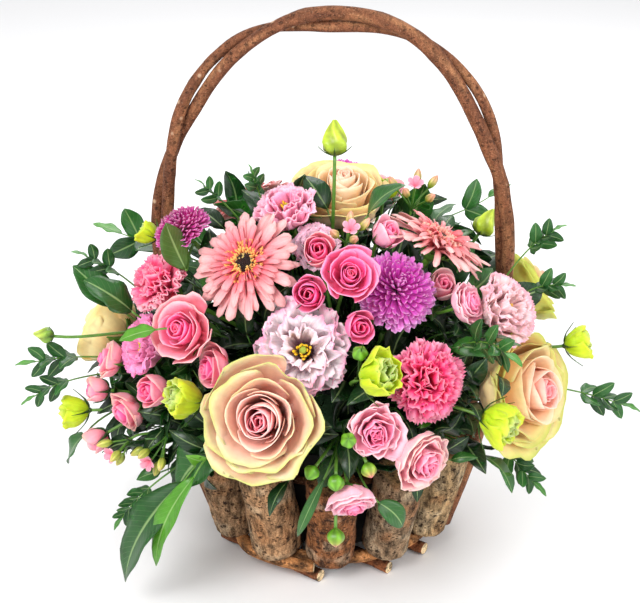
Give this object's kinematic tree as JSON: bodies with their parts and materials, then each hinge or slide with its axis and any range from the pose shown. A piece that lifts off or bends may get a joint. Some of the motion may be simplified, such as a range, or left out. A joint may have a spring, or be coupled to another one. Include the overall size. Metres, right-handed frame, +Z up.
{
  "type": "flower basket arrangement",
  "caption": "Cut flowers in pink, coral, lilac and green stand in foam in a basket of upright logs, under a twisted vine handle.",
  "frame": {"origin": "under the basket's middle, on the flat underside of the ground stick that runs below it", "axes": "+X to the arrangement's right seen from its front, along the handle's width; front towards -Y; +Z up"},
  "size_m": [0.5446, 0.4313, 0.4895],
  "materials": {
    "base_wood": "thin round sticks and hoop, peeled and split in places",
    "rim_wood": "thin round hoop, dark bark",
    "log_bark": "rough bark in grey, tan and red-brown, with cut ends",
    "vine_bark": "twisted vine, smooth red-brown bark with knots",
    "liner": "dark thin plastic",
    "foam": "fine open foam, wet and dark green",
    "rose_petals": "soft petals, salmon pink to cream, green at the outer edges",
    "gerbera_petals": "long narrow petals, salmon pink and coral, dark centre",
    "carnation_petals": "ruffled petals with toothed edges, pink",
    "lisianthus_petals": "ruffled thin petals, pale pink and lilac with deeper edges",
    "chrysanthemum_petals": "dense narrow curved petals, lilac and magenta",
    "spray_rose_petals": "soft petals, hot pink hearts and pale rims",
    "green_bloom": "fresh yellow-green petals and thin dark sepals",
    "small_buds": "small peach and green buds with pink florets",
    "leaves": "satin dark green leaves, lighter veins"
  },
  "bodies": {
    "root": {"base_hoop": "base_wood", "base_stick_1": "base_wood", "base_stick_2": "base_wood", "base_stick_3": "base_wood", "base_stick_4": "base_wood", "carnation_front": "carnation_petals", "carnation_left": "carnation_petals", "carnation_rear": "carnation_petals", "chrysanthemum_left": "chrysanthemum_petals", "chrysanthemum_rear": "chrysanthemum_petals", "chrysanthemum_right": "chrysanthemum_petals", "floral_foam": "foam", "florets_low_left": "small_buds", "florets_top": "small_buds", "foliage_front": "leaves", "foliage_left": "leaves", "foliage_low_left": "leaves", "foliage_rear": "leaves", "foliage_right": "leaves", "foliage_top": "leaves", "gerbera_left": "gerbera_petals", "gerbera_rear": "gerbera_petals", "gerbera_right": "gerbera_petals", "green_lisianthus_far_left": "green_bloom", "green_lisianthus_front": "green_bloom", "green_lisianthus_left": "green_bloom", "green_lisianthus_right": "green_bloom", "green_lisianthus_top": "green_bloom", "handle_vine_a": "vine_bark", "handle_vine_b": "vine_bark", "liner": "liner", "lisianthus_centre": "lisianthus_petals", "lisianthus_low_left": "lisianthus_petals", "lisianthus_right": "lisianthus_petals", "lisianthus_upper": "lisianthus_petals", "log_01": "log_bark", "log_02": "log_bark", "log_03": "log_bark", "log_04": "log_bark", "log_05": "log_bark", "log_06": "log_bark", "log_07": "log_bark", "log_08": "log_bark", "log_09": "log_bark", "log_10": "log_bark", "log_11": "log_bark", "log_12": "log_bark", "rim_hoop": "rim_wood", "rose_front": "rose_petals", "rose_left": "rose_petals", "rose_rear": "rose_petals", "rose_right": "rose_petals", "rose_right_rear": "rose_petals", "rose_top": "rose_petals", "spray_rose_centre": "spray_rose_petals", "spray_rose_far_left": "spray_rose_petals", "spray_rose_left": "spray_rose_petals", "spray_rose_low": "spray_rose_petals", "spray_rose_rear": "spray_rose_petals", "spray_rose_right": "spray_rose_petals"}
  },
  "joints": []
}
